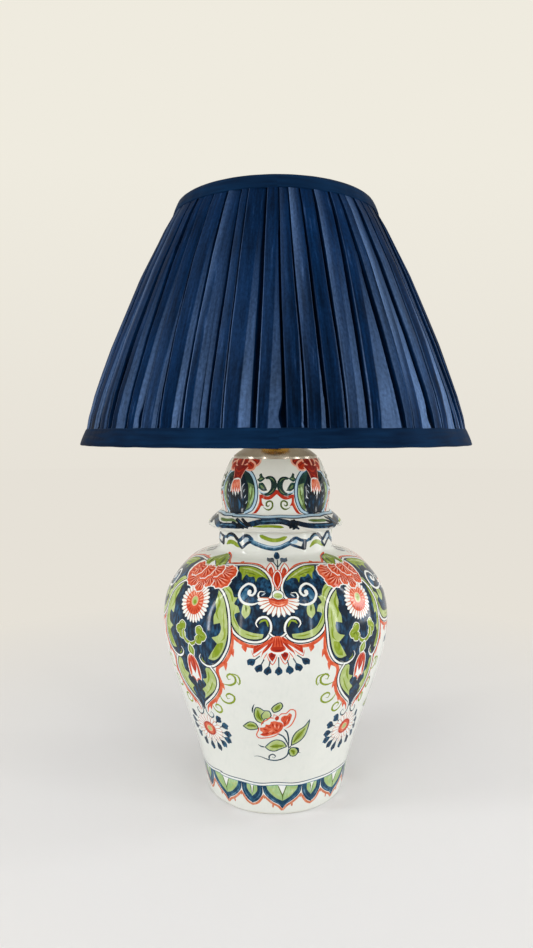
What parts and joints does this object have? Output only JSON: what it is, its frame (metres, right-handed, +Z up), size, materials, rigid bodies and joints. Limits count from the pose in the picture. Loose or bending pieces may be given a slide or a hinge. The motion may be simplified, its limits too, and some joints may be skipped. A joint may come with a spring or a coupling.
{
  "type": "table lamp",
  "caption": "Table lamp: a lidded eight-sided glazed jar with painted ornament, brass lampholder with push-bar switch, bulb and a gathered silk empire shade.",
  "frame": {"origin": "centre of the foot ring's resting plane, on the lamp's axis", "axes": "+Z up along the lamp's axis, -Y towards the front that the picture shows, +X to the right seen from the front"},
  "size_m": [0.35, 0.35, 0.5313],
  "materials": {
    "glazed_pottery": "glossy tin glaze with painted ornament",
    "rubber": "matt",
    "black_plastic": "smooth",
    "plated_steel": "zinc plated",
    "polished_nickel": "polished",
    "brass": "polished",
    "porcelain": "unglazed",
    "frame_wire": "white powder coat",
    "lining_cloth": "smooth lining",
    "blue_silk": "silk with a soft sheen",
    "blue_binding": "bias-cut silk tape",
    "bulb_metal": "rolled",
    "opal_glass": "opal"
  },
  "bodies": {
    "base": {"jar_body": "glazed_pottery", "jar_lid": "glazed_pottery", "lid_gasket": "rubber", "foot_rubber_washer": "rubber", "cord_grommet": "black_plastic", "stem_tube": "plated_steel", "foot_steel_washer": "plated_steel", "foot_nut": "plated_steel", "vase_cap": "polished_nickel", "cap_nut": "brass", "holder_base": "brass", "holder_body": "brass", "holder_grub_screw": "plated_steel", "holder_core": "porcelain", "screw_shell": "brass", "centre_contact": "brass", "terminal_screws": "plated_steel", "lower_shade_ring": "brass"},
    "switch": {"switch_bar": "plated_steel", "switch_knobs": "black_plastic"},
    "shade": {"fitter_ring": "frame_wire", "fitter_arms": "frame_wire", "shade_bottom_ring": "frame_wire", "shade_top_ring": "frame_wire", "shade_struts": "frame_wire", "shade_lining": "lining_cloth", "silk_cover": "blue_silk", "bottom_binding": "blue_binding", "top_binding": "blue_binding"},
    "shade_ring": {"upper_shade_ring": "brass"},
    "bulb": {"bulb_contact": "plated_steel", "bulb_insulator": "black_plastic", "bulb_cap": "bulb_metal", "bulb_glass": "opal_glass"}
  },
  "joints": [
    {"name": "switch_push", "type": "slide", "parent": "base", "child": "switch", "axis": [0, 1, 0], "range_m": [0, 0.006]},
    {"name": "shade_turn", "type": "hinge", "parent": "base", "child": "shade", "pos_m": [0, 0, 0.376], "axis": [0, 0, 1], "continuous": true},
    {"name": "shade_ring_turn", "type": "hinge", "parent": "base", "child": "shade_ring", "pos_m": [0, 0, 0.3795], "axis": [0, 0, 1], "continuous": true},
    {"name": "bulb_turn", "type": "hinge", "parent": "base", "child": "bulb", "pos_m": [0, 0, 0.38], "axis": [0, 0, 1], "continuous": true}
  ]
}
